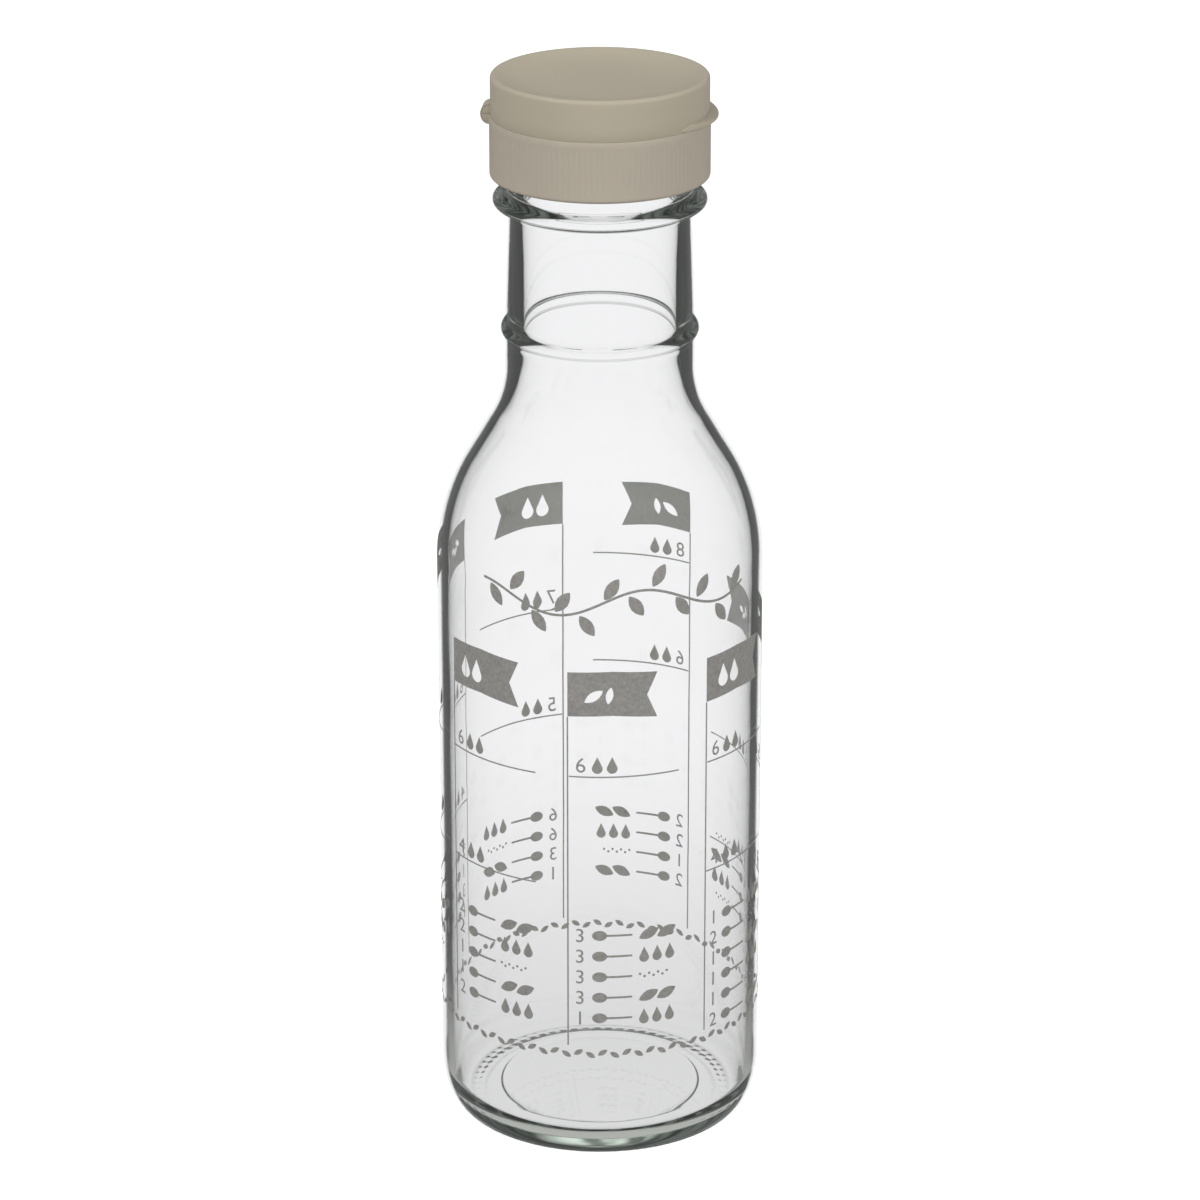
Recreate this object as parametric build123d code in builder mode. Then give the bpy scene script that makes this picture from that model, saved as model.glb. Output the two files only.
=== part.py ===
import os
from math import cos, pi, radians, sin, tan

from build123d import *

# Salad dressing shaker: a printed glass bottle with a one-turn-and-lift screw closure and a flip
# lid. Millimetres, +Z up, origin on the bottle's axis at the level of the bearing ring.
# The lid's hinge is on the -X side of the closure and its thumb tab on the +X side.

# Glass body
body_r = 31.0  # outside of the straight body
wall = 2.0  # glass thickness in the body
shoulder_z = 113.2  # where the straight body ends
shoulder_arc_r = 39.2  # convex arc at the top of the body
neck_arc_r = 20.5  # concave arc running into the neck
shoulder_lean = 31.1  # lean of the shoulder's straight run from the vertical, in degrees

# Glass base
heel_in = 4.4  # how far the heel draws in
heel_up = 10.0  # height of the heel's curve
bearing_w = 2.2  # width of the flat ring that the bottle stands on
push_in = 5.0  # from the bearing ring in to the edge of the underside's dome
push_low = 1.0  # rise of the underside over that width
push_step = 0.5  # height and width of the step at the dome's edge
push_up = 2.6  # height of the underside's dome at its centre
base_glass = 3.1  # glass above the dome's centre
floor_round = 5.4  # radius between the inner floor and the wall
floor_lean = 12.0  # fall of the domed inner floor where it meets that radius, in degrees

# Glass neck, from the shoulder up
low_neck_r = 17.8  # neck below the bead
low_neck_h = 5.256  # straight neck between the shoulder and the bead
mid_neck_r = 17.75  # neck just above the bead
mid_neck_h = 21.55  # from the bead to the transfer ring
top_neck_r = 17.05  # neck just below the transfer ring
bore_r = 14.4  # inside of the neck
bead_half = 1.75
bead_proud = 0.9
bead_round = 0.5  # fillet at the foot of the bead
ring_half = 1.7  # half height of the transfer ring, by which the hot bottle is carried
ring_r = 20.1
ring_nose = 1.15  # radius of the transfer ring's nose
finish_r = 17.5  # glass under the thread
thread_room = 1.2  # how far the thread may stand out of the finish
finish_h = 13.6  # from the middle of the transfer ring to the sealing lip
lip_round = 0.8

# Seal ring
seal_t = 1.0
seal_in = 1.0  # the ring reaches this far inside the neck's bore

# Closure base
bore_gap = 0.25  # seal ring to the closure's bore
skirt_wall = 1.55
skirt_h = 11.5  # from the bottom edge to the parting plane
deck_t = 1.4
skirt_bevel = 0.45  # bottom outside edge
rib_count = 120  # fine grip ribs round the skirt
rib_depth = 0.12
rib_share = 0.62  # width of a groove as a share of the rib pitch
rib_low = 1.0  # plain band below the ribs
rib_high = 1.3  # plain band above the ribs
collar_h = 1.2  # raised ring that the lid snaps over
collar_w = 1.1
collar_gap = 0.3  # collar to the lid's inside
collar_bevel = 0.35
dish_drop = 0.2  # the deck falls this far below the parting plane at the spout
spout_r = 7.3  # outside of the pouring spout
spout_wall = 1.3
spout_h = 3.6  # spout top above the parting plane
spout_flare = 0.6  # outward flare of the spout's pouring edge
spout_flare_h = 1.1

# Flip lid
lid_inset = 0.2  # lid side inside the skirt's side
lid_h = 7.7
lid_wall = 1.4
top_t = 1.3
rim_w = 1.0  # flat rim round the dished top
dish_depth = 1.2
rim_bevel = 0.5
plug_gap = 0.3  # lid plug to the spout's bore
plug_wall = 1.2
plug_reach = 2.2  # plug below the spout's top
plug_draft = 6.0  # taper of the plug, in degrees
parting_bevel = 0.16  # bevels that draw the parting line
tab_half_angle = 38.0  # thumb tab's ends from the +X axis, in degrees
tab_proud = 1.6
tab_t = 1.5
tab_edge_t = 0.7

# Hinge
ear_w = 4.2  # width of the hinge along Y
ear_proud = 1.3  # how far the ears stand out of the skirt
ear_h = 2.1  # height of each ear from the parting plane
web_r = 0.25  # round web at the tips of the ears, about which the lid turns
web_gap = 0.05  # web to the lid's ear


def shoulder_rise(low_r, high_r, low_arc_r, high_arc_r):
    """Height of a shoulder: two arcs with a straight run between them that touches both."""
    lean = radians(shoulder_lean)
    arcs_r = low_arc_r + high_arc_r
    return arcs_r * sin(lean) + (low_r - high_r - arcs_r * (1 - cos(lean))) / tan(lean)


def draw_shoulder(low_r, high_r, low_arc_r, high_arc_r):
    """Draws the shoulder from low_r at shoulder_z up to high_r, and returns its top height."""
    lean = radians(shoulder_lean)
    top_z = shoulder_z + shoulder_rise(low_r, high_r, low_arc_r, high_arc_r)
    low_end = (low_r - low_arc_r * (1 - cos(lean)), shoulder_z + low_arc_r * sin(lean))
    high_start = (high_r + high_arc_r * (1 - cos(lean)), top_z - high_arc_r * sin(lean))
    CenterArc((low_r - low_arc_r, shoulder_z), low_arc_r, 0, shoulder_lean)
    Line(low_end, high_start)
    CenterArc((high_r + high_arc_r, top_z), high_arc_r, 180 + shoulder_lean, -shoulder_lean)
    return top_z


def around(height, reach=0):
    """The span of heights in which edges at a height, or within reach of it, are looked for."""
    return height - reach - 0.01, height + reach + 0.01


# Heights and radii that follow
base_floor_z = push_up + base_glass
inner_body_r = body_r - wall
floor_edge_r = inner_body_r - floor_round * (1 + sin(radians(floor_lean)))
floor_edge_z = base_floor_z - floor_edge_r * tan(radians(floor_lean) / 2)
wall_foot_z = floor_edge_z + floor_round * cos(radians(floor_lean))
neck_z = shoulder_z + shoulder_rise(body_r, low_neck_r, shoulder_arc_r, neck_arc_r)
bead_z = neck_z + low_neck_h + bead_half
ring_z = bead_z + bead_half + mid_neck_h + ring_half
lip_z = ring_z + finish_h
deck_under_z = lip_z + seal_t
parting_z = deck_under_z + deck_t
skirt_bottom_z = parting_z - skirt_h
seal_r = finish_r + thread_room
seal_hole_r = bore_r - seal_in
closure_bore_r = seal_r + bore_gap
skirt_r = closure_bore_r + skirt_wall
lid_r = skirt_r - lid_inset
lid_bore_r = lid_r - lid_wall
lid_top_z = parting_z + lid_h
lid_under_z = lid_top_z - dish_depth - top_t
collar_r = lid_bore_r - collar_gap
spout_bore_r = spout_r - spout_wall
spout_top_z = parting_z + spout_h
dish_edge_r = lid_r - rim_w
plug_r = spout_bore_r - plug_gap
plug_bottom_z = spout_top_z - plug_reach
hinge_x = -(skirt_r + ear_proud)

os.makedirs("parts", exist_ok=True)

# Glass bottle: the outline and the hollow are two turned profiles
with BuildPart() as glass_bottle:
    with BuildSketch(Plane.XZ):
        with BuildLine():
            bearing_out = body_r - heel_in
            bearing_in = bearing_out - bearing_w
            dome_r = bearing_in - push_in
            dome_edge = (dome_r - push_step, push_low + push_step)
            TangentArc((0, push_up), dome_edge, tangent=(1, 0))
            Polyline(dome_edge, (dome_r, push_low), (bearing_in, 0), (bearing_out, 0))
            EllipticalCenterArc((bearing_out, heel_up), heel_in, heel_up, 270, arc_size=90)
            Line((body_r, heel_up), (body_r, shoulder_z))
            draw_shoulder(body_r, low_neck_r, shoulder_arc_r, neck_arc_r)
            bead_low = (low_neck_r, bead_z - bead_half)
            bead_high = (mid_neck_r, bead_z + bead_half)
            Line((low_neck_r, neck_z), bead_low)
            ThreePointArc(bead_low, (low_neck_r + bead_proud, bead_z), bead_high)
            nose_low = (ring_r - ring_nose, ring_z - ring_nose)
            nose_high = (ring_r - ring_nose, ring_z + ring_nose)
            Polyline(bead_high, (top_neck_r, ring_z - ring_half), nose_low)
            ThreePointArc(nose_low, (ring_r, ring_z), nose_high)
            Polyline(
                nose_high,
                (finish_r, ring_z + ring_half),
                (finish_r, lip_z),
                (0, lip_z),
                (0, push_up),
            )
        make_face()
    revolve(axis=Axis.Z)
    with BuildSketch(Plane.XZ):
        with BuildLine():
            neck_glass = low_neck_r - bore_r
            round_at = (inner_body_r - floor_round, wall_foot_z)
            TangentArc((0, base_floor_z), (floor_edge_r, floor_edge_z), tangent=(1, 0))
            CenterArc(round_at, floor_round, 270 - floor_lean, 90 + floor_lean)
            Line((inner_body_r, wall_foot_z), (inner_body_r, shoulder_z))
            bore_z = draw_shoulder(inner_body_r, bore_r, shoulder_arc_r - wall, neck_arc_r + neck_glass)
            Polyline((bore_r, bore_z), (bore_r, lip_z), (0, lip_z), (0, base_floor_z))
        make_face()
    revolve(axis=Axis.Z, mode=Mode.SUBTRACT)
    rings = glass_bottle.edges().filter_by(GeomType.CIRCLE)
    fillet(rings.filter_by_position(Axis.Z, *around(lip_z)), lip_round)
    rings = glass_bottle.edges().filter_by(GeomType.CIRCLE)
    fillet(rings.filter_by_position(Axis.Z, *around(bead_z, bead_half)), bead_round)
glass_bottle.part.label = "glass_bottle"

# Seal ring: a flat washer clamped between the sealing lip and the closure's deck
with BuildPart() as seal_ring:
    with BuildSketch(Plane.XY.offset(lip_z)):
        Circle(seal_r)
        Circle(seal_hole_r, mode=Mode.SUBTRACT)
    extrude(amount=seal_t)
seal_ring.part.label = "seal_ring"

# Closure base: ribbed skirt, deck with a drain-back dish, snap collar and flared pouring spout
with BuildPart() as closure_base:
    with BuildSketch(Plane.XZ):
        with BuildLine():
            Polyline(
                (closure_bore_r, skirt_bottom_z),
                (skirt_r, skirt_bottom_z),
                (skirt_r, parting_z),
                (collar_r, parting_z),
                (collar_r, parting_z + collar_h),
                (collar_r - collar_w, parting_z + collar_h),
                (collar_r - collar_w, parting_z),
                (spout_r, parting_z - dish_drop),
                (spout_r, spout_top_z - spout_flare_h),
                (spout_r + spout_flare, spout_top_z),
                (spout_bore_r, spout_top_z),
                (spout_bore_r, deck_under_z),
                (closure_bore_r, deck_under_z),
                close=True,
            )
        make_face()
    revolve(axis=Axis.Z)
    circles = closure_base.edges().filter_by(GeomType.CIRCLE)
    outer = circles.filter_by(lambda e: abs(e.radius - skirt_r) < 0.01).sort_by(Axis.Z)
    chamfer(outer[0], skirt_bevel)
    chamfer(outer[-1], parting_bevel)
    collar_edges = circles.filter_by_position(Axis.Z, *around(parting_z + collar_h))
    chamfer(collar_edges.sort_by(lambda e: e.radius)[-1], collar_bevel)
    # Grip ribs, left between shallow V grooves
    groove_w = 2 * pi * skirt_r / rib_count * rib_share
    with BuildSketch(Plane.XY.offset(skirt_bottom_z + rib_low)):
        with PolarLocations(skirt_r, rib_count):
            Polygon((-rib_depth, 0), (rib_depth, groove_w), (rib_depth, -groove_w), align=None)
    extrude(amount=skirt_h - rib_low - rib_high, mode=Mode.SUBTRACT)
    # Lower hinge ear: a quarter round under the parting plane
    with BuildSketch(Plane.XZ.offset(ear_w / 2)):
        with BuildLine():
            ear_root = -skirt_r + skirt_wall / 2
            EllipticalCenterArc((-skirt_r, parting_z), ear_proud, ear_h, 180, arc_size=90)
            Polyline(
                (-skirt_r, parting_z - ear_h),
                (ear_root, parting_z - ear_h),
                (ear_root, parting_z),
                (hinge_x, parting_z),
            )
        make_face()
    extrude(amount=-ear_w)
    with BuildSketch(Plane.XZ.offset(ear_w / 2)):
        with Locations((hinge_x, parting_z)):
            Circle(web_r)
    extrude(amount=-ear_w, mode=Mode.SUBTRACT)
closure_base.part.label = "closure_base"

# Flip lid: a shallow cup with a dished top, a hollow sealing plug, a thumb tab and an upper ear
with BuildPart() as flip_lid:
    with BuildSketch(Plane.XZ):
        with BuildLine():
            Polyline(
                (0, lid_top_z - dish_depth),
                (0, lid_under_z),
                (lid_bore_r, lid_under_z),
                (lid_bore_r, parting_z),
                (lid_r, parting_z),
                (lid_r, lid_top_z),
                (dish_edge_r, lid_top_z),
            )
            TangentArc((0, lid_top_z - dish_depth), (dish_edge_r, lid_top_z), tangent=(1, 0))
        make_face()
    revolve(axis=Axis.Z)
    circles = flip_lid.edges().filter_by(GeomType.CIRCLE).sort_by(lambda e: e.radius)
    chamfer(circles.filter_by_position(Axis.Z, *around(lid_top_z))[-1], rim_bevel)
    chamfer(circles.filter_by_position(Axis.Z, *around(parting_z))[-1], parting_bevel)
    # Plug that stops the spout
    with BuildSketch(Plane.XY.offset(lid_under_z)):
        Circle(plug_r)
    extrude(amount=plug_bottom_z - lid_under_z, taper=plug_draft)
    with BuildSketch(Plane.XY.offset(plug_bottom_z)):
        Circle(plug_r - plug_wall)
    extrude(amount=lid_under_z - plug_bottom_z, mode=Mode.SUBTRACT)
    # Thumb tab: a crescent whose ends run into the side
    with BuildSketch(Plane.XY.offset(parting_z)):
        with BuildLine():
            tab_end = (lid_r * cos(radians(tab_half_angle)), lid_r * sin(radians(tab_half_angle)))
            tab_foot = (tab_end[0], -tab_end[1])
            ThreePointArc(tab_foot, (lid_r + tab_proud, 0), tab_end)
            ThreePointArc(tab_end, (lid_r - lid_wall / 2, 0), tab_foot)
        make_face()
    extrude(amount=tab_t)
    tab_rim = flip_lid.edges().filter_by_position(Axis.Z, *around(parting_z + tab_t))
    chamfer(tab_rim.sort_by(Axis.X)[-1], tab_t - tab_edge_t)
    # Upper hinge ear, hollowed round the web
    with BuildSketch(Plane.XZ.offset(ear_w / 2)):
        with BuildLine():
            ear_root = -lid_r + lid_wall / 2
            EllipticalCenterArc((-skirt_r, parting_z), ear_proud, ear_h, 90, arc_size=90)
            Polyline(
                (hinge_x, parting_z),
                (ear_root, parting_z),
                (ear_root, parting_z + ear_h),
                (-skirt_r, parting_z + ear_h),
            )
        make_face()
    extrude(amount=-ear_w)
    with BuildSketch(Plane.XZ.offset(ear_w / 2)):
        with Locations((hinge_x, parting_z)):
            Circle(web_r + web_gap)
    extrude(amount=-ear_w, mode=Mode.SUBTRACT)
flip_lid.part.label = "flip_lid"

# Living hinge: the thin web that joins the two ears, drawn as the round line it bends about
with BuildPart() as living_hinge:
    with BuildSketch(Plane.XZ.offset(ear_w / 2)):
        with Locations((hinge_x, parting_z)):
            Circle(web_r)
    extrude(amount=-ear_w)
living_hinge.part.label = "living_hinge"

for piece in (glass_bottle, seal_ring, closure_base, flip_lid, living_hinge):
    export_step(piece.part, f"parts/{piece.part.label}.step")
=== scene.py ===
from math import atan2, cos, hypot, pi, radians, sin, tan

import bpy
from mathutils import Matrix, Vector


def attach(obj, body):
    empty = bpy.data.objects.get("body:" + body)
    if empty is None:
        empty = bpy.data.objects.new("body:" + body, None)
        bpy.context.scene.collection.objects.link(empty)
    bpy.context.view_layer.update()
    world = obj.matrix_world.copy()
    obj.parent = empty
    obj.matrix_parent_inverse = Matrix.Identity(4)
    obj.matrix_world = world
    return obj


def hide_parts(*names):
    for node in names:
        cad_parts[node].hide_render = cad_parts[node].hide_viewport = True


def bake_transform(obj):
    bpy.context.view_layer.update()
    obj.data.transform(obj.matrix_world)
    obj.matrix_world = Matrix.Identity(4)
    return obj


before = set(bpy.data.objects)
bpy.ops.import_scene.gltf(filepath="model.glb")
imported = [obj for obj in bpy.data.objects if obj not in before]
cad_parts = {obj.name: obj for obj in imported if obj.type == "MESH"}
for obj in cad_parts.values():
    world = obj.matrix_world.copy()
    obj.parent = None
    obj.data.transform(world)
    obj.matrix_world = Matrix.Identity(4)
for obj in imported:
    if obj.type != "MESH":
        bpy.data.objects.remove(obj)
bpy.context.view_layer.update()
mm = 0.001

# Camera. It looks down a little from the front, and a few degrees from the thumb tab's side, far off
# through a long lens, so the bottle stands nearly upright with its cap's dished top in view.
camera_far = 956 * mm
camera_tilt = radians(20.6)
camera_turn = radians(5)
camera_aim = 103.9 * mm
camera_data = bpy.data.cameras.new("camera")
camera_data.lens = 150
camera_data.sensor_width = 36
camera_data.clip_end = 20
camera = bpy.data.objects.new("camera", camera_data)
camera_out = camera_far * cos(camera_tilt)
camera_up = camera_aim + camera_far * sin(camera_tilt)
camera.location = (camera_out * sin(camera_turn), -camera_out * cos(camera_turn), camera_up)
camera.rotation_euler = (pi / 2 - camera_tilt, 0, camera_turn)
bpy.context.scene.collection.objects.link(camera)
bpy.context.scene.camera = camera
bpy.context.scene.view_settings.view_transform = "Standard"


def add_node(tree, kind, **values):
    """Adds a shader node. A value goes to the input of that name, or to the node's own setting."""
    made = tree.nodes.new(kind)
    for key, value in values.items():
        name = key.replace("_", " ")
        if name in made.inputs:
            made.inputs[name].default_value = value
        else:
            setattr(made, key, value)
    return made


def sum_node(tree, operation, first, second):
    """Adds a Math node on two sockets or numbers and returns its output."""
    made = tree.nodes.new("ShaderNodeMath")
    made.operation = operation
    for socket, value in zip(made.inputs, (first, second)):
        if isinstance(value, (int, float)):
            socket.default_value = value
        else:
            tree.links.new(value, socket)
    return made.outputs[0]


# Studio. Clear glass shows its shape when what is seen through it is bright, what its outside
# mirrors is pale, and what its walls mirror inside is dim. What its thick base mirrors on its way
# through is light again. Light that scattered meets an even room.
def choose(tree, direct, through, outside, inside, base, scattered):
    """Joins shaders by ray: direct, through glass, mirrored outside, inside or deep, or scattered."""
    path = tree.nodes.new("ShaderNodeLightPath")
    ray, passed = path.outputs["Ray Depth"], path.outputs["Transmission Depth"]
    was_through = sum_node(tree, "GREATER_THAN", passed, 0.5)
    was_mirrored = sum_node(tree, "GREATER_THAN", ray, passed)
    was_inside = sum_node(tree, "MULTIPLY", was_mirrored, was_through)
    was_deep = sum_node(tree, "MULTIPLY", was_mirrored, sum_node(tree, "GREATER_THAN", passed, 2.5))
    was_scattered = sum_node(tree, "GREATER_THAN", path.outputs["Diffuse Depth"], 0.5)
    seen = direct
    for mask, other in (
        (was_through, through),
        (was_mirrored, outside),
        (was_inside, inside),
        (was_deep, base),
        (was_scattered, scattered),
        (path.outputs["Is Camera Ray"], direct),
    ):
        mix = tree.nodes.new("ShaderNodeMixShader")
        tree.links.new(mask, mix.inputs[0])
        tree.links.new(seen, mix.inputs[1])
        tree.links.new(other, mix.inputs[2])
        seen = mix.outputs[0]
    return seen


def ramp(tree, value, low, high, start, end):
    """Turns a value between low and high smoothly into one between start and end."""
    made = add_node(tree, "ShaderNodeMapRange", interpolation_type="SMOOTHSTEP")
    for name, number in (("From Min", low), ("From Max", high), ("To Min", start), ("To Max", end)):
        made.inputs[name].default_value = number
    tree.links.new(value, made.inputs["Value"])
    return made.outputs[0]


world = bpy.data.worlds.new("studio")
bpy.context.scene.world = world
world.use_nodes = True
tree = world.node_tree
tree.nodes.clear()
white = (1, 1, 1, 1)
rooms = []
for colour, strength in (
    (white, 1.0),
    (white, 1.0),
    ((0.97, 0.98, 1, 1), 0.3),
    ((0.98, 1, 0.94, 1), 0.0),
    (white, 0.75),
    (white, 0.32),
):
    rooms += [add_node(tree, "ShaderNodeBackground", Color=colour, Strength=strength)]
# The room that the walls mirror inside is darker below than above
way = tree.nodes.new("ShaderNodeTexCoord")
split = tree.nodes.new("ShaderNodeSeparateXYZ")
tree.links.new(way.outputs["Generated"], split.inputs[0])
tree.links.new(ramp(tree, split.outputs["Z"], 0.1, 0.9, 0.05, 0.7), rooms[3].inputs["Strength"])
sky = tree.nodes.new("ShaderNodeOutputWorld")
tree.links.new(choose(tree, *(room.outputs[0] for room in rooms)), sky.inputs["Surface"])

bpy.ops.object.select_all(action="DESELECT")
bpy.ops.mesh.primitive_plane_add(size=12, location=(0, 0, -0.05 * mm))
floor = bpy.context.object
floor.name = "floor"
floor_paint = bpy.data.materials.new("floor_paint")
floor_paint.use_nodes = True
tree = floor_paint.node_tree
tree.nodes.clear()
matt = add_node(tree, "ShaderNodeBsdfDiffuse", Color=(0.82, 0.82, 0.82, 1))
lift = add_node(tree, "ShaderNodeEmission", Color=white)
lifted = tree.nodes.new("ShaderNodeAddShader")
tree.links.new(matt.outputs[0], lifted.inputs[0])
tree.links.new(lift.outputs[0], lifted.inputs[1])
place = tree.nodes.new("ShaderNodeTexCoord")
length = add_node(tree, "ShaderNodeVectorMath", operation="LENGTH")
tree.links.new(place.outputs["Object"], length.inputs[0])
from_middle = length.outputs["Value"]
tree.links.new(ramp(tree, from_middle, 0.3, 1.8, 0.46, 1.0), lift.inputs["Strength"])
# Painted shade: seen through the glass, the floor is darker and a little cool near the middle, under and
# around the bottle, and full white 0.2 m out
through_painted_shade = add_node(tree, "ShaderNodeEmission", Color=(0.99, 0.985, 1, 1))
tree.links.new(ramp(tree, from_middle, 0.0, 0.2, 0.76, 1.0), through_painted_shade.inputs["Strength"])
pale = add_node(tree, "ShaderNodeEmission", Color=(0.97, 0.98, 1, 1), Strength=0.3)
# Painted light: in what the walls mirror inside, the floor glows under and just around the bottle and is dim
# farther out
dim = add_node(tree, "ShaderNodeEmission", Color=(0.98, 1, 0.94, 1))
tree.links.new(ramp(tree, from_middle, 0.035, 0.09, 0.45, 0.05), dim.inputs["Strength"])
light = add_node(tree, "ShaderNodeEmission", Color=white, Strength=0.75)
shade = add_node(tree, "ShaderNodeBsdfDiffuse", Color=(0.42, 0.42, 0.42, 1))
out = tree.nodes.new("ShaderNodeOutputMaterial")
kinds = (lifted, through_painted_shade, pale, dim, light, shade)
tree.links.new(choose(tree, *(kind.outputs[0] for kind in kinds)), out.inputs["Surface"])
floor.data.materials.append(floor_paint)

for name, stand, size, power in (
    ("key_light", (-0.82, -0.9, 1.28), 0.8, 20),
    ("fill_light", (1.15, -0.75, 0.75), 0.9, 13),
    ("back_light", (-0.3, 1.2, 1.3), 0.8, 2),
):
    lamp_data = bpy.data.lights.new(name, "AREA")
    lamp_data.size = size
    lamp_data.energy = power
    lamp = bpy.data.objects.new(name, lamp_data)
    lamp.location = stand
    lamp.rotation_euler = (Vector((0, 0, 0.1)) - lamp.location).to_track_quat("-Z", "Y").to_euler()
    lamp.visible_camera = False
    lamp.visible_transmission = False
    lamp.visible_glossy = False
    bpy.context.scene.collection.objects.link(lamp)


# Glass bottle. Blown soda-lime glass with a faint green tint: thin walls, a thick domed base on a
# knurled bearing ring, a bead and a transfer ring on the neck, and a screw finish under the cap.
def arc(centre, radius, start, end, steps, flat=1.0):
    """Points on an arc in (radius, height), by angles in degrees. flat squeezes its height."""
    angles = [radians(start + (end - start) * k / steps) for k in range(steps + 1)]
    return [(centre[0] + radius * cos(a), centre[1] + radius * flat * sin(a)) for a in angles]


def shoulder(low_r, high_r, low_arc_r, high_arc_r, steps):
    """The shoulder's points, from the body at shoulder_z up to the neck: two arcs and a straight run."""
    lean = radians(shoulder_lean)
    arcs_r = low_arc_r + high_arc_r
    rise = arcs_r * sin(lean) + (low_r - high_r - arcs_r * (1 - cos(lean))) / tan(lean)
    low = arc((low_r - low_arc_r, shoulder_z), low_arc_r, 0, shoulder_lean, steps)
    high_centre = (high_r + high_arc_r, shoulder_z + rise)
    return low + arc(high_centre, high_arc_r, 180 + shoulder_lean, 180, steps)


def drawn(name, points, y=0.0):
    """Draws (x, height) points in mm as a chain of edges at y, and stays in edit mode."""
    bpy.ops.object.select_all(action="DESELECT")
    bpy.ops.mesh.primitive_plane_add(size=mm, location=(0, 0, 0))
    made = bpy.context.object
    made.name = name
    bpy.ops.object.mode_set(mode="EDIT")
    bpy.ops.mesh.select_all(action="SELECT")
    bpy.ops.mesh.merge(type="CENTER")
    bpy.ops.transform.translate(value=(points[0][0] * mm, y * mm, points[0][1] * mm))
    for here, there in zip(points, points[1:]):
        step = ((there[0] - here[0]) * mm, 0, (there[1] - here[1]) * mm)
        bpy.ops.mesh.extrude_region_move(TRANSFORM_OT_translate={"value": step})
    return made


def weld():
    """Welds the piece in edit mode, turns its faces outwards and leaves edit mode."""
    bpy.ops.mesh.select_all(action="SELECT")
    bpy.ops.mesh.remove_doubles(threshold=0.004 * mm)
    bpy.ops.mesh.normals_make_consistent(inside=False)
    bpy.ops.object.mode_set(mode="OBJECT")


def turned(name, profile, steps):
    """Spins a profile of (radius, height) points in mm about the Z axis into a clean shell."""
    made = drawn(name, profile)
    bpy.ops.mesh.select_all(action="SELECT")
    bpy.ops.mesh.spin(steps=steps, angle=2 * pi, center=(0, 0, 0), axis=(0, 0, 1))
    weld()
    made.data.name = name
    return made


def smooth(piece, angle):
    """Shades a piece smooth up to an angle in degrees."""
    bpy.ops.object.select_all(action="DESELECT")
    piece.select_set(True)
    bpy.context.view_layer.objects.active = piece
    bpy.ops.object.shade_smooth_by_angle(angle=radians(angle))


body_r, wall, shoulder_z, shoulder_lean = 31.0, 2.0, 113.2, 31.1
shoulder_arc_r, neck_arc_r = 39.2, 20.5
neck_r, bore_r, bead_z, ring_z, lip_z = 17.8, 14.4, 158.7, 183.7, 197.3
finish_r, finish_low, finish_high, finish_rows = 17.5, 186.4, 196.2, 40
lip_round = 0.8
heel_in, heel_up, floor_round = 4.4, 10.0, 5.4
dome_top, dome_arc_r, floor_top, floor_arc_r = 2.6, 104.5, 5.7, 108.1
inner_r = body_r - wall
outline = arc((0, dome_top - dome_arc_r), dome_arc_r, 90, 79.6, 12)
outline += [(19.1, 0.92), (19.4, 1.2), (19.8, 1.2), (22.0, 0.65), (24.0, 0.12), (24.3, 0.02)]
outline += [(24.5, 0.0), (25.0, 0.0), (25.5, 0.0), (26.0, 0.0)]
outline += arc((body_r - heel_in, heel_up), heel_in, 270, 360, 28, flat=heel_up / heel_in)
outline += [(body_r, 30.0), (body_r, 60.0), (body_r, 90.0)]
outline += shoulder(body_r, neck_r, shoulder_arc_r, neck_arc_r, 22)
outline += [(neck_r, 156.2), (17.83, 156.7), (17.95, 157.05)]
outline += arc((17.2, bead_z), 1.5, -58, 58, 12)
outline += [(17.9, 160.35), (17.78, 160.7), (17.75, 161.3), (17.3, 175.0)]
outline += [(17.05, 181.2), (17.12, 181.75), (17.45, 182.1)]
outline += arc((18.95, ring_z), 1.15, -80, 80, 12)
outline += [(18.2, 185.25), (17.75, 185.5), (17.55, 185.9)]
finish_h = finish_high - finish_low
outline += [(finish_r, finish_low + finish_h * k / finish_rows) for k in range(finish_rows + 1)]
outline += arc((finish_r - lip_round, lip_z - lip_round), lip_round, 10, 90, 6)
outline += arc((bore_r + lip_round, lip_z - lip_round), lip_round, 90, 180, 6)
outline += [(bore_r, 180.0), (bore_r, 165.0)]
outline += shoulder(inner_r, bore_r, shoulder_arc_r - wall, neck_arc_r + neck_r - bore_r, 22)[::-1]
outline += [(inner_r, 90.0), (inner_r, 60.0), (inner_r, 30.0)]
outline += arc((inner_r - floor_round, 8.62), floor_round, 360, 258, 18)
outline += arc((0, floor_top - floor_arc_r), floor_arc_r, 78, 90, 14)[1:]
round_steps = 256
bottle = turned("bottle_glass", outline, round_steps)


def thread_ridge(turn, z, first, last, low_z, half, flank):
    """How far a thread stands out at a share of a turn and a height, from 0 to 1."""
    rise = 0.0
    for lap in (turn - 1, turn, turn + 1, turn + 2):
        if first <= lap <= last:
            ends = min(1, (lap - first) * 12, (last - lap) * 12)
            off = abs(z - low_z - lap * pitch)
            rise = max(rise, ends * min(1.0, max(0.0, (half - off) / flank)))
    return rise


# The thread is a ridge of the finish itself, and the bearing ring is knurled in short radial bars
pitch, thread_low, thread_proud, knurl_deep = 4.233, 187.6, 1.05, 0.09
for v in bottle.data.vertices:
    x, y, z = (c / mm for c in v.co)
    r = hypot(x, y)
    turn = (atan2(y, x) / (2 * pi)) % 1.0
    if 186.3 < z < 196.3 and r > 17.0:
        rise = thread_proud * thread_ridge(turn, z, 0, 1.25, thread_low, 1.15, 0.55)
        v.co.x *= (r + rise) / r
        v.co.y *= (r + rise) / r
    if z < 0.05 and 24.3 < r < 25.7:
        bar = round(turn * round_steps) % 4
        v.co.z += (0.0 if bar < 2 else knurl_deep) * mm
smooth(bottle, 40)


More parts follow.
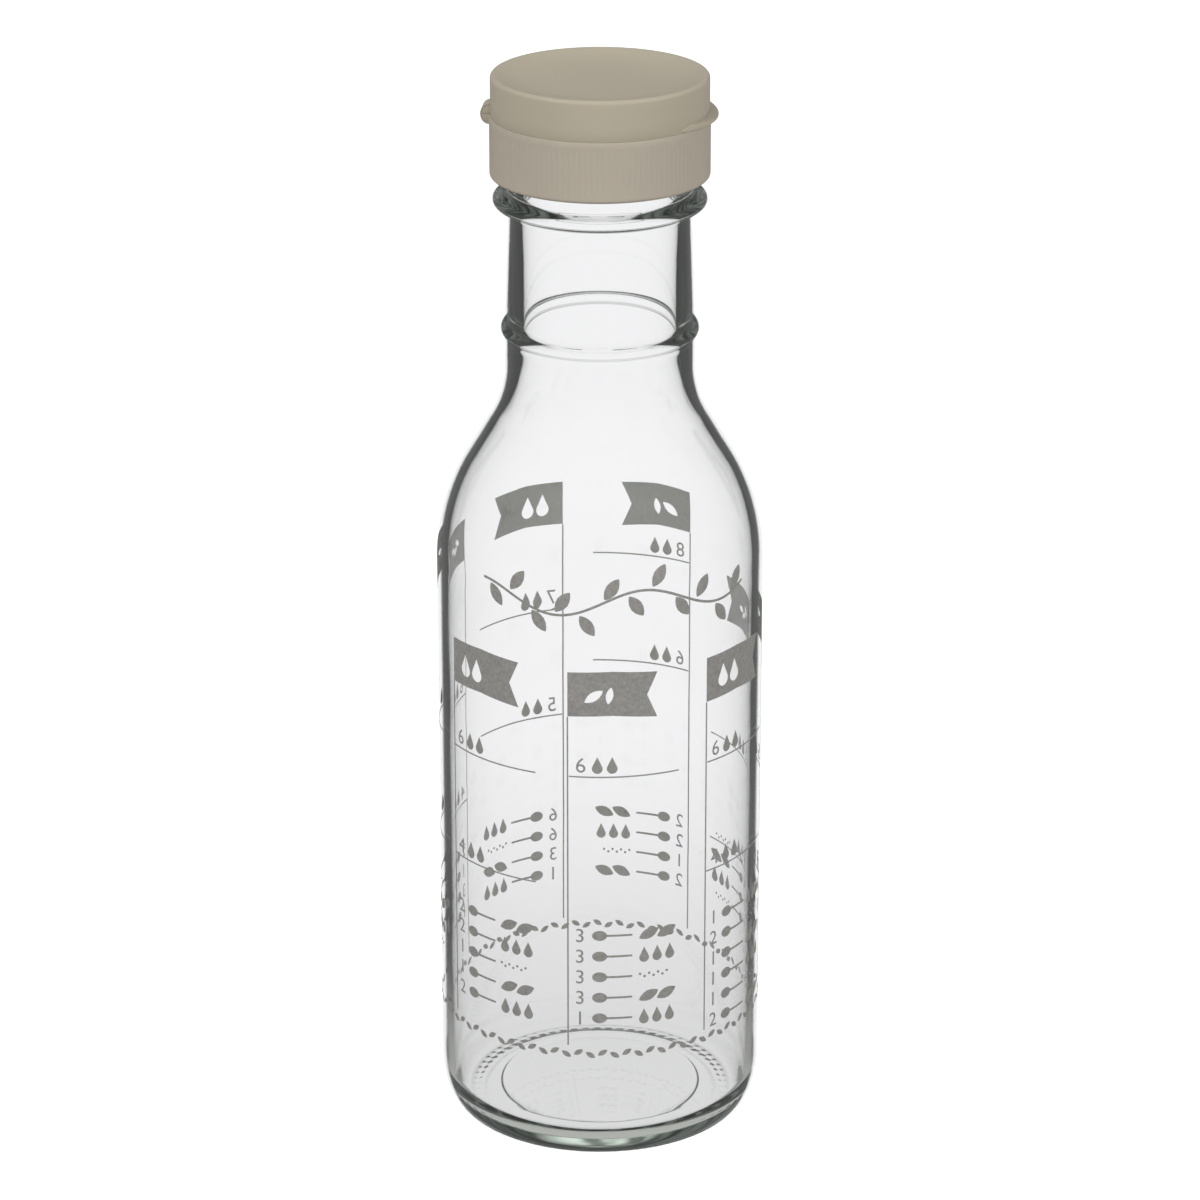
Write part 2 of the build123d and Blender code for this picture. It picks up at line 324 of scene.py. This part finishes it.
def faint_waves(tree, size, height):
    """Bump for the slow ripples of blown glass."""
    place = tree.nodes.new("ShaderNodeTexCoord")
    ripple = add_node(tree, "ShaderNodeTexNoise", Scale=size, Detail=1.0)
    tree.links.new(place.outputs["Object"], ripple.inputs["Vector"])
    bump = add_node(tree, "ShaderNodeBump", Strength=1.0, Distance=height)
    tree.links.new(ripple.outputs["Fac"], bump.inputs["Height"])
    return bump.outputs["Normal"]


clear_glass = bpy.data.materials.new("clear_glass")
clear_glass.use_nodes = True
tree = clear_glass.node_tree
tree.nodes.clear()
glass = add_node(tree, "ShaderNodeBsdfPrincipled", Roughness=0.0, IOR=1.5, Transmission_Weight=1.0)
glass.inputs["Base Color"].default_value = (1, 1, 1, 1)
tree.links.new(faint_waves(tree, 45, 0.00012), glass.inputs["Normal"])
lets_light = add_node(tree, "ShaderNodeBsdfTransparent", Color=(0.95, 0.955, 0.95, 1))
path = tree.nodes.new("ShaderNodeLightPath")
for_lamps = tree.nodes.new("ShaderNodeMixShader")
tree.links.new(path.outputs["Is Shadow Ray"], for_lamps.inputs[0])
tree.links.new(glass.outputs[0], for_lamps.inputs[1])
tree.links.new(lets_light.outputs[0], for_lamps.inputs[2])
# Painted light at the rim: seen nearly edge on, the glass is made mostly see-through to the camera, which
# lays a lighter edge over its dark outline and thins it
edge_on = add_node(tree, "ShaderNodeLayerWeight", Blend=0.5)
painted_rim_light = ramp(tree, edge_on.outputs["Facing"], 0.74, 0.84, 0.0, 0.85)
clears = tree.nodes.new("ShaderNodeBsdfTransparent")
for_edge = tree.nodes.new("ShaderNodeMixShader")
tree.links.new(sum_node(tree, "MULTIPLY", painted_rim_light, path.outputs["Is Camera Ray"]), for_edge.inputs[0])
tree.links.new(for_lamps.outputs[0], for_edge.inputs[1])
tree.links.new(clears.outputs[0], for_edge.inputs[2])
# Painted light: where light has been mirrored three or more times inside, the glass glows a streaked grey
# green that is lighter near the axis, in place of the black that the cut-off path would give. Light that
# scattered is left out of this.
mirrors = sum_node(tree, "SUBTRACT", path.outputs["Ray Depth"], path.outputs["Transmission Depth"])
mirrors = sum_node(tree, "SUBTRACT", mirrors, sum_node(tree, "MULTIPLY", path.outputs["Diffuse Depth"], 9.0))
place = tree.nodes.new("ShaderNodeTexCoord")
level = add_node(tree, "ShaderNodeVectorMath", operation="MULTIPLY")
level.inputs[1].default_value = (1, 1, 0)
tree.links.new(place.outputs["Object"], level.inputs[0])
from_axis = add_node(tree, "ShaderNodeVectorMath", operation="LENGTH")
tree.links.new(level.outputs[0], from_axis.inputs[0])
painted_deep_glow = add_node(tree, "ShaderNodeEmission", Color=(0.88, 0.96, 0.88, 1))
stretch = add_node(tree, "ShaderNodeVectorMath", operation="MULTIPLY")
stretch.inputs[1].default_value = (260, 260, 30)
tree.links.new(place.outputs["Object"], stretch.inputs[0])
streaks = add_node(tree, "ShaderNodeTexNoise", Scale=1.0, Detail=1.5)
tree.links.new(stretch.outputs[0], streaks.inputs["Vector"])
by_streak = ramp(tree, streaks.outputs["Fac"], 0.42, 0.66, 0.6, 2.6)
by_place = ramp(tree, from_axis.outputs["Value"], 0.008, 0.018, 0.42, 0.055)
tree.links.new(sum_node(tree, "MULTIPLY", by_place, by_streak), painted_deep_glow.inputs["Strength"])
for_deep = tree.nodes.new("ShaderNodeMixShader")
tree.links.new(sum_node(tree, "GREATER_THAN", mirrors, 2.5), for_deep.inputs[0])
tree.links.new(for_edge.outputs[0], for_deep.inputs[1])
tree.links.new(painted_deep_glow.outputs[0], for_deep.inputs[2])
tint = add_node(tree, "ShaderNodeVolumeAbsorption", Color=(0.74, 0.82, 0.77, 1), Density=13.0)
out = tree.nodes.new("ShaderNodeOutputMaterial")
tree.links.new(for_deep.outputs[0], out.inputs["Surface"])
tree.links.new(tint.outputs[0], out.inputs["Volume"])
bottle.data.materials.append(clear_glass)
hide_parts("glass_bottle")
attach(bottle, "bottle")


# Printed measures. Grey glass enamel, screened on the straight wall and fired: seven columns, each
# with a rule, a pennant, level lines with their plain numbers, and spoonfuls shown as small signs.
def slab(x0, z0, x1, z1):
    """A plain bar."""
    return [[(x0, z0), (x1, z0), (x1, z1), (x0, z1)]]


def leaf(x, z, long, lean, wide=0.42):
    """A leaf that points away from (x, z), by its length and lean in degrees."""
    shares = (0, 0.06, 0.15, 0.3, 0.5, 0.7, 0.85, 0.94, 1)
    half = [(long * t, long * wide / 2 * sin(pi * t) ** 0.8) for t in shares]
    rim = half + [(a, -b) for a, b in half[-2:0:-1]]
    c, n = cos(radians(lean)), sin(radians(lean))
    return [[(x + a * c - b * n, z + a * n + b * c) for a, b in rim]]


def drop(x, z, high):
    """A drop that stands on its round end, centred on x and z."""
    r = high * 0.3
    angles = [radians(30 - 240 * k / 14) for k in range(15)]
    rim = [(x + r * cos(a), z - high * 0.2 + r * sin(a)) for a in angles]
    return [rim + [(x, z + high * 0.5)]]


def spoon(x, z, long):
    """A measuring spoon lying on its side: an oval bowl and a handle."""
    bowl = long * 0.19
    angles = [radians(12 + 336 * k / 16) for k in range(17)]
    rim = [(x + bowl + bowl * cos(a), z + bowl * 0.72 * sin(a)) for a in angles]
    return [rim + [(x + long, z - 0.2), (x + long + 0.15, z), (x + long, z + 0.2)]]


def dots(x, z, count):
    """A pinch: a few grains side by side."""
    made = []
    for k in range(count):
        cx, cz = x + 0.9 * k, z + 0.28 * (-1) ** k
        made += [[(cx + 0.27 * cos(a), cz + 0.27 * sin(a)) for a in (pi * j / 4 for j in range(8))]]
    return made


def pennant(z, long, sign):
    """A pennant that flies from the rule at height z, with a sign left bare in it."""
    low = [(0.0, z - 4.4), (long * 0.5, z - 4.1), (long, z - 4.9), (long - 2.0, z - 0.3)]
    high = [(long, z + 4.1), (long * 0.5, z + 4.7), (0.0, z + 4.4)]
    return [low + high] + sign


def stroke(points, width):
    """A drawn line of even width through the points."""
    left, right = [], []
    for k, (x, z) in enumerate(points):
        x0, z0 = points[max(k - 1, 0)]
        x1, z1 = points[min(k + 1, len(points) - 1)]
        size = hypot(x1 - x0, z1 - z0)
        nx, nz = -(z1 - z0) / size * width / 2, (x1 - x0) / size * width / 2
        left += [(x + nx, z + nz)]
        right += [(x - nx, z - nz)]
    return [left + right[::-1]]


def glass_r_at(z):
    """Radius of the bottle's outside at a height on the wall or the first part of the shoulder."""
    if z < shoulder_z:
        return body_r
    return body_r - shoulder_arc_r + (shoulder_arc_r**2 - (z - shoulder_z) ** 2) ** 0.5


def fired_enamel(name, dark, light):
    """Matt glass enamel with the fine mottle of its screen."""
    made = bpy.data.materials.new(name)
    made.use_nodes = True
    tree = made.node_tree
    skin = tree.nodes["Principled BSDF"]
    skin.inputs["Roughness"].default_value = 0.5
    place = tree.nodes.new("ShaderNodeTexCoord")
    screen = add_node(tree, "ShaderNodeTexNoise", Scale=1500.0, Detail=2.0)
    tone = tree.nodes.new("ShaderNodeValToRGB")
    tone.color_ramp.elements[0].position = 0.3
    tone.color_ramp.elements[0].color = dark
    tone.color_ramp.elements[1].position = 0.7
    tone.color_ramp.elements[1].color = light
    tooth = add_node(tree, "ShaderNodeBump", Strength=0.4, Distance=0.00001)
    tree.links.new(place.outputs["Object"], screen.inputs["Vector"])
    tree.links.new(screen.outputs["Fac"], tone.inputs["Fac"])
    tree.links.new(tone.outputs["Color"], skin.inputs["Base Color"])
    tree.links.new(screen.outputs["Fac"], tooth.inputs["Height"])
    tree.links.new(tooth.outputs["Normal"], skin.inputs["Normal"])
    return made


enamel = fired_enamel("grey_enamel", (0.225, 0.22, 0.205, 1), (0.3, 0.295, 0.275, 1))
# Painted light: the print's side towards the glass is made lighter, in place of the light that reaches the
# back print through the bottle
enamel_painted_lighter = fired_enamel("enamel_glass_side_painted_light", (0.36, 0.355, 0.325, 1), (0.42, 0.415, 0.385, 1))


# The print is cut into narrow strips, so that it bends with the glass, and lies just clear of it
first_strip, strip, off_glass, coat_thick = 0.7, 1.1, 0.014, 0.04


def print_on(name, shapes, numbers, angle):
    """Fires shapes and numbers on the glass. angle turns them from the front towards +X, in degrees."""
    bpy.ops.object.select_all(action="DESELECT")
    drawing = bpy.data.curves.new(name, "CURVE")
    drawing.dimensions = "2D"
    drawing.fill_mode = "BOTH"
    for rim in shapes:
        line = drawing.splines.new("POLY")
        line.points.add(len(rim) - 1)
        for point, (x, z) in zip(line.points, rim):
            point.co = (x, z, 0, 1)
        line.use_cyclic_u = True
    flat = bpy.data.objects.new(name, drawing)
    bpy.context.scene.collection.objects.link(flat)
    parts = [flat]
    for text, x, z, high in numbers:
        bpy.ops.object.text_add(location=(x, z, 0))
        digit = bpy.context.object
        digit.data.body = text
        digit.data.size = high / 0.7
        digit.data.resolution_u = 4
        parts += [digit]
    bpy.ops.object.select_all(action="DESELECT")
    for part in parts:
        part.select_set(True)
    bpy.context.view_layer.objects.active = flat
    bpy.ops.object.convert(target="MESH")
    bpy.ops.object.join()
    bpy.ops.object.transform_apply(location=True)
    bpy.ops.object.mode_set(mode="EDIT")
    low = min(v.co.x for v in flat.data.vertices)
    high = max(v.co.x for v in flat.data.vertices)
    cut = low + first_strip
    while cut < high:
        bpy.ops.mesh.select_all(action="SELECT")
        bpy.ops.mesh.bisect(plane_co=(cut, 0, 0), plane_no=(1, 0, 0))
        cut += strip
    for level in range(106, 122, 2):
        bpy.ops.mesh.select_all(action="SELECT")
        bpy.ops.mesh.bisect(plane_co=(0, level, 0), plane_no=(0, 1, 0))
    bpy.ops.object.mode_set(mode="OBJECT")
    turn_back = sum(f.normal.z * f.area for f in flat.data.polygons) < 0
    for v in flat.data.vertices:
        round_by = radians(angle - 90) + v.co.x / body_r
        r = glass_r_at(v.co.y) + off_glass
        v.co = Vector((r * cos(round_by), r * sin(round_by), v.co.y)) * mm
    bpy.ops.object.mode_set(mode="EDIT")
    bpy.ops.mesh.select_all(action="SELECT")
    bpy.ops.mesh.remove_doubles(threshold=0.0005 * mm)
    if turn_back:
        bpy.ops.mesh.flip_normals()
    bpy.ops.object.mode_set(mode="OBJECT")
    coat = flat.modifiers.new("coat", "SOLIDIFY")
    coat.thickness = coat_thick * mm
    coat.offset = 1
    bpy.ops.object.modifier_apply(modifier=coat.name)
    flat.data.materials.clear()
    flat.data.materials.append(enamel)
    flat.data.materials.append(enamel_painted_lighter)
    # Faces towards the glass take the lighter enamel, a painted light for the back print
    for face in flat.data.polygons:
        face.material_index = int(face.normal.x * face.center.x + face.normal.y * face.center.y < 0)
    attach(flat, "bottle")


six_ounce_z, ounce_mm3 = 80.1, 29.57e3


def level_z(ounces):
    """Height of the level line for this many ounces, spaced by volume from the six ounce line."""
    return six_ounce_z - (6 - ounces) * ounce_mm3 / (pi * inner_r**2)


signs = {
    "leaf": lambda x, z: leaf(x, z - 1.5, 4.2, 35) + leaf(x + 4.4, z - 1.8, 3.4, 80),
    "drop": lambda x, z: drop(x + 1.2, z, 4.6) + drop(x + 4.6, z, 4.6),
    "grain": lambda x, z: leaf(x, z, 3.0, 25) + leaf(x + 1.6, z, 3.0, -25) + leaf(x + 3.6, z, 3.0, 0),
}
# Each column's pennant height and length, sign, ounce lines and spoonfuls from the top
columns = [
    (96.6, 17.0, "leaf", (6,), (3, 3, 3, 3, 1)),
    (96.8, 17.5, "drop", (6, 4), (1, 2, 1, 1, 1, 2)),
    (99.0, 16.0, "grain", (5, 3), (2, 4, 1, 1)),
    (113.3, 15.5, "leaf", (8, 6), (2, 2, 1, 2)),
    (113.3, 16.5, "drop", (7, 5), (6, 6, 3, 1)),
    (112.0, 15.0, "grain", (6, 4), (2, 1, 3, 1)),
    (97.5, 18.0, "drop", (6, 4), (2, 2, 1, 1, 2)),
]
for index, (fly_z, fly_long, sign, levels, spoonfuls) in enumerate(columns):
    shapes = slab(-0.15, 24.5, 0.15, fly_z - 4.5) + pennant(fly_z, fly_long, signs[sign](3.2, fly_z))
    numbers = []
    for ounces in levels:
        z = level_z(ounces)
        shapes += slab(0.25, z - 0.14, 21.5, z + 0.14)
        numbers += [(str(ounces), 1.4, z + 0.9, 3.0)]
        shapes += drop(5.6, z + 2.4, 3.4) + drop(8.4, z + 2.4, 3.4)
    for row, count in enumerate(spoonfuls):
        z = 47.6 - 4.3 * row
        numbers += [(str(count), 1.3, z - 1.4, 2.8)]
        shapes += spoon(4.6, z, 7.6)
        kind = (index + row) % 3
        if kind == 0:
            shapes += leaf(13.6, z - 0.9, 4.2, 24, wide=0.5) + leaf(17.2, z - 0.9, 4.2, 24, wide=0.5)
        elif kind == 1:
            shapes += drop(14.6, z, 3.2) + drop(17.2, z, 3.2) + drop(19.8, z, 3.2)
        else:
            shapes += dots(13.8, z, 7)
    print_on(f"column_{index + 1}", shapes, numbers, -6.3 + index * 360 / len(columns))


def vine_z(x):
    """Height of the vine's wavy stem."""
    return 114.6 + 2.4 * sin(x / 5.2)


vine = [(x * 0.6, vine_z(x * 0.6)) for x in range(-40, 54)]
print_on("vine", stroke(vine, 0.5), [], 5)
shapes = []
for k in range(12):
    x = -22.4 + 4.6 * k
    shapes += leaf(x + 0.2, vine_z(x) + (0.6 if k % 2 else -0.6), 4.8, 55 if k % 2 else -55, wide=0.5)
print_on("vine_leaves", shapes, [], 5)

shapes = []
band_z, band_leaves = 22.9, 84
for k in range(band_leaves):
    x = 2 * pi * body_r * k / band_leaves
    shapes += leaf(x, band_z - (0.3 if k % 2 else -0.3), 2.1, 32 if k % 2 else -32, wide=0.5)
print_on("leaf_band", shapes, [], 0)

# Seal ring. A punched washer of pale foamed plastic, pressed into the cap, that the glass lip
# bears on. It can be seen only from below, through the neck.
seal_profile = [(13.4, 197.45), (13.5, 197.35), (13.65, 197.3), (18.45, 197.3), (18.6, 197.35)]
seal_profile += [(18.7, 197.5), (18.7, 198.1), (18.6, 198.25), (18.45, 198.3), (13.65, 198.3)]
seal_profile += [(13.5, 198.25), (13.4, 198.1), (13.4, 197.45)]
seal = turned("seal_foam", seal_profile, 128)
smooth(seal, 50)
foam = bpy.data.materials.new("seal_foam")
foam.use_nodes = True
tree = foam.node_tree
skin = tree.nodes["Principled BSDF"]
skin.inputs["Roughness"].default_value = 0.6
place = tree.nodes.new("ShaderNodeTexCoord")
cells = add_node(tree, "ShaderNodeTexVoronoi", Scale=2600.0)
shade = tree.nodes.new("ShaderNodeValToRGB")
shade.color_ramp.elements[0].color = (0.72, 0.71, 0.68, 1)
shade.color_ramp.elements[1].color = (0.82, 0.81, 0.78, 1)
dimple = add_node(tree, "ShaderNodeBump", Strength=0.4, Distance=0.00008)
tree.links.new(place.outputs["Object"], cells.inputs["Vector"])
tree.links.new(cells.outputs["Distance"], shade.inputs["Fac"])
tree.links.new(shade.outputs["Color"], skin.inputs["Base Color"])
tree.links.new(cells.outputs["Distance"], dimple.inputs["Height"])
tree.links.new(dimple.outputs["Normal"], skin.inputs["Normal"])
seal.data.materials.append(foam)
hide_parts("seal_ring")
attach(seal, "seal")


# Closure base. Injection-moulded polypropylene in warm grey: a finely ribbed skirt with the thread
# inside, a deck that drains back to the pouring spout, and the collar that the lid snaps over.
def moulded_group():
    """Node group: the slight mottle, sheen changes and fine texture of moulded plastic."""
    group = bpy.data.node_groups.new("moulded_plastic", "ShaderNodeTree")
    for name, kind, side in (
        ("Colour", "NodeSocketColor", "INPUT"),
        ("Mottle", "NodeSocketFloat", "INPUT"),
        ("Roughness", "NodeSocketFloat", "INPUT"),
        ("Base Colour", "NodeSocketColor", "OUTPUT"),
        ("Gloss", "NodeSocketFloat", "OUTPUT"),
        ("Relief", "NodeSocketFloat", "OUTPUT"),
    ):
        group.interface.new_socket(name=name, in_out=side, socket_type=kind)
    ins = group.nodes.new("NodeGroupInput")
    outs = group.nodes.new("NodeGroupOutput")
    place = group.nodes.new("ShaderNodeTexCoord")
    cloud = add_node(group, "ShaderNodeTexNoise", Scale=70.0, Detail=3.0)
    grain = add_node(group, "ShaderNodeTexNoise", Scale=2400.0, Detail=2.0)
    group.links.new(place.outputs["Object"], cloud.inputs["Vector"])
    group.links.new(place.outputs["Object"], grain.inputs["Vector"])
    drift = sum_node(group, "SUBTRACT", cloud.outputs["Fac"], 0.5)
    swing = sum_node(group, "MULTIPLY", drift, ins.outputs["Mottle"])
    tone = sum_node(group, "ADD", swing, 1.0)
    tinted = add_node(group, "ShaderNodeVectorMath", operation="SCALE")
    group.links.new(ins.outputs["Colour"], tinted.inputs[0])
    group.links.new(tone, tinted.inputs["Scale"])
    gloss = sum_node(group, "ADD", ins.outputs["Roughness"], sum_node(group, "MULTIPLY", drift, 0.18))
    group.links.new(tinted.outputs[0], outs.inputs["Base Colour"])
    group.links.new(gloss, outs.inputs["Gloss"])
    group.links.new(grain.outputs["Fac"], outs.inputs["Relief"])
    return group


moulded = moulded_group()


def plastic(name, colour, mottle, roughness, relief):
    """A material of the moulded plastic, with its own colour and finish."""
    made = bpy.data.materials.new(name)
    made.use_nodes = True
    tree = made.node_tree
    skin = tree.nodes["Principled BSDF"]
    use = tree.nodes.new("ShaderNodeGroup")
    use.node_tree = moulded
    use.inputs["Colour"].default_value = colour
    use.inputs["Mottle"].default_value = mottle
    use.inputs["Roughness"].default_value = roughness
    bump = add_node(tree, "ShaderNodeBump", Strength=0.5, Distance=relief)
    tree.links.new(use.outputs["Base Colour"], skin.inputs["Base Color"])
    tree.links.new(use.outputs["Gloss"], skin.inputs["Roughness"])
    tree.links.new(use.outputs["Relief"], bump.inputs["Height"])
    tree.links.new(bump.outputs["Normal"], skin.inputs["Normal"])
    skin.inputs["IOR"].default_value = 1.49
    skin.inputs["Specular IOR Level"].default_value = 0.3
    return made


closure_plastic = plastic("closure_plastic", (0.4, 0.357, 0.29, 1), 0.06, 0.42, 0.00002)
skirt_r, closure_bore_r, parting_z, skirt_low = 20.5, 18.95, 199.7, 188.2
rib_rows = [skirt_low + z for z in (1.0, 1.25, 3.5, 6.0, 8.5, 9.95, 10.2)]
base_profile = [(skirt_r - 0.9, skirt_low), (skirt_r - 0.6, skirt_low)]
base_profile += arc((skirt_r - 0.6, skirt_low + 0.6), 0.6, -75, 0, 6)
base_profile += [(skirt_r, z) for z in rib_rows]
base_profile += [(skirt_r, parting_z - 0.1), (skirt_r - 0.03, parting_z - 0.03), (skirt_r - 0.1, parting_z)]
base_profile += [(18.6, parting_z), (18.6, 200.5), (18.5, 200.78), (18.2, 200.9), (17.7, 200.9)]
base_profile += [(17.52, 200.82), (17.5, 200.6), (17.5, 199.85), (17.35, 199.7)]
base_profile += [(7.6, 199.52), (7.3, 199.7), (7.3, 202.2), (7.45, 202.65), (7.86, 203.12)]
base_profile += [(7.86, 203.25), (7.7, 203.3), (6.35, 203.3), (6.1, 203.2), (6.0, 202.95)]
base_profile += [(6.0, 198.5), (6.2, 198.3), (18.95, 198.3)]
thread_rows = 30
base_profile += [(closure_bore_r, 198.0 - 9.3 * k / thread_rows) for k in range(thread_rows + 1)]
base_profile += [(closure_bore_r + 0.3, skirt_low), (skirt_r - 0.9, skirt_low)]
# Four steps of the turning make one grip rib and its groove
rib_count, rib_deep, inner_thread_proud = 120, 0.07, 0.95
closure = turned("closure_moulding", base_profile, 4 * rib_count)
for v in closure.data.vertices:
    x, y, z = (c / mm for c in v.co)
    r = hypot(x, y)
    turn = (atan2(y, x) / (2 * pi)) % 1.0
    if r > skirt_r - 0.02 and rib_rows[0] + 0.1 < z < rib_rows[-1] - 0.1:
        if round(turn * 4 * rib_count) % 4 == 0:
            v.co.x *= (r - rib_deep) / r
            v.co.y *= (r - rib_deep) / r
    if abs(r - closure_bore_r) < 0.01 and 188.6 < z < 198.1:
        rise = inner_thread_proud * thread_ridge(turn, z, 0.75, 2.1, thread_low - pitch / 2, 0.95, 0.5)
        v.co.x *= (r - rise) / r
        v.co.y *= (r - rise) / r
smooth(closure, 35)


def ear(name, root_x, sign):
    """A quarter-round ear beside the parting plane, above it for sign 1 and below for -1."""
    proud, high, half_wide, clear = 1.3, 1.67, 1.75, 0.03
    side = arc((-skirt_r, parting_z), proud, 180, 180 - 90 * sign, 14, flat=high / proud)
    side = [(x, z + clear * sign) for x, z in side]
    side += [(root_x, parting_z + (high + clear) * sign), (root_x, parting_z + clear * sign)]
    made = drawn(name, side, -half_wide)
    bpy.ops.mesh.select_all(action="SELECT")
    bpy.ops.mesh.edge_face_add()
    bpy.ops.mesh.extrude_region_move(TRANSFORM_OT_translate={"value": (0, 2 * half_wide * mm, 0)})
    weld()
    soften(made, 0.04, 2)
    return made


def soften(piece, width, segments):
    """Rounds a piece's edges with a bevel in mm."""
    bpy.ops.object.select_all(action="DESELECT")
    piece.select_set(True)
    bpy.context.view_layer.objects.active = piece
    bevel = piece.modifiers.new("edges", "BEVEL")
    bevel.width = width * mm
    bevel.segments = segments
    bevel.limit_method = "ANGLE"
    bevel.angle_limit = radians(40)
    bpy.ops.object.modifier_apply(modifier=bevel.name)


def join(whole, *others):
    """Joins pieces of one moulding."""
    bpy.ops.object.select_all(action="DESELECT")
    for piece in (whole, *others):
        piece.select_set(True)
    bpy.context.view_layer.objects.active = whole
    bpy.ops.object.join()


join(closure, ear("lower_ear", -skirt_r + 0.7, -1))
smooth(closure, 35)
closure.data.materials.clear()
closure.data.materials.append(closure_plastic)
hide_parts("closure_base")
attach(closure, "closure")

# Flip lid. Moulded in one with the closure from the same plastic: a shallow cup with a dished top
# and a thin rounded rim, a tapered plug for the spout and a crescent tab for the thumb.
lid_r, lid_top, rim_round = 20.3, 207.4, 0.75
dish_r, dish_deep, dish_steps = 19.3, 1.75, 28
lid_profile = []
for k in range(dish_steps + 1):
    share = k / dish_steps
    lid_profile += [(dish_r * k / dish_steps, lid_top - dish_deep * (1 - share**4.5))]
lid_profile += arc((lid_r - rim_round, lid_top - rim_round), rim_round, 90, 0, 8)
lid_profile += [(lid_r, 205.0), (lid_r, 202.0), (lid_r, parting_z + 0.1), (lid_r - 0.03, parting_z + 0.03)]
lid_profile += [(lid_r - 0.1, parting_z), (19.05, parting_z), (18.9, parting_z + 0.15), (18.9, 204.5)]
lid_profile += [(18.6, 204.9), (6.1, 204.9), (5.75, 204.6), (5.42, 201.5), (5.3, 201.2), (5.0, 201.1)]
lid_profile += [(4.6, 201.1), (4.5, 201.3), (4.5, 204.6), (4.3, 204.9), (0.0, 204.9)]
lid = turned("lid_moulding", lid_profile, round_steps)
smooth(lid, 35)

# The tab's edge is an arc through its crest and both ends, and it thins outwards and at the ends
tab_half, tab_proud, tab_high, tab_fall = 38.0, 1.6, 1.3, 0.75
bpy.ops.object.select_all(action="DESELECT")
bpy.ops.mesh.primitive_grid_add(x_subdivisions=48, y_subdivisions=5, size=1)
tab = bpy.context.object
tab.name = "thumb_tab"
bpy.ops.object.mode_set(mode="EDIT")
bpy.ops.mesh.select_all(action="SELECT")
bpy.ops.mesh.extrude_region_move(TRANSFORM_OT_translate={"value": (0, 0, -1)})
bpy.ops.mesh.select_all(action="SELECT")
bpy.ops.mesh.normals_make_consistent(inside=False)
bpy.ops.object.mode_set(mode="OBJECT")
end_x, end_y = lid_r * cos(radians(tab_half)), lid_r * sin(radians(tab_half))
crest_x = lid_r + tab_proud
rim_centre = (crest_x**2 - end_x**2 - end_y**2) / (2 * (crest_x - end_x))
rim_r = crest_x - rim_centre
tab_root_r = lid_r - 0.6
for v in tab.data.vertices:
    angle = radians(tab_half) * 2 * v.co.x
    across = v.co.y + 0.5
    edge_r = rim_centre * cos(angle) + (rim_r**2 - (rim_centre * sin(angle)) ** 2) ** 0.5
    r = tab_root_r + (edge_r - tab_root_r) * across
    fade = min(1.0, 0.1 + 5.0 * (1.0 - abs(2 * v.co.x))) ** 0.5
    high = fade * (tab_high - tab_fall * max(0.0, (r - lid_r) / tab_proud))
    z = parting_z + (high if v.co.z > -0.5 else 0.03)
    v.co = Vector((r * cos(angle), r * sin(angle), z)) * mm
tab.data.update()
bpy.ops.object.mode_set(mode="EDIT")
bpy.ops.mesh.select_all(action="SELECT")
bpy.ops.mesh.normals_make_consistent(inside=False)
bpy.ops.object.mode_set(mode="OBJECT")
soften(tab, 0.2, 3)
join(lid, tab, ear("upper_ear", -lid_r + 0.7, 1))
smooth(lid, 35)
lid.data.materials.clear()
lid_plastic = plastic("lid_plastic", (0.4, 0.358, 0.276, 1), 0.05, 0.36, 0.000012)
lid.data.materials.append(lid_plastic)
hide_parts("flip_lid")
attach(lid, "lid")

# Living hinge. A thin strap of the same moulding that loops outwards from the closure to the lid.
loop_out, loop_half_high, strap_half_wide, strap_thick = 1.43, 1.8, 1.8, 0.3
loop = arc((-skirt_r, parting_z), loop_out, 282, 78, 28, flat=loop_half_high / loop_out)
strap = drawn("hinge_strap", loop, -strap_half_wide)
bpy.ops.mesh.select_all(action="SELECT")
bpy.ops.mesh.extrude_region_move(TRANSFORM_OT_translate={"value": (0, 2 * strap_half_wide * mm, 0)})
weld()
thick = strap.modifiers.new("thickness", "SOLIDIFY")
thick.thickness = strap_thick * mm
thick.offset = 0
bpy.ops.object.modifier_apply(modifier=thick.name)
soften(strap, 0.08, 2)
smooth(strap, 50)
strap.data.materials.append(lid_plastic)
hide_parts("living_hinge")
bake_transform(strap)
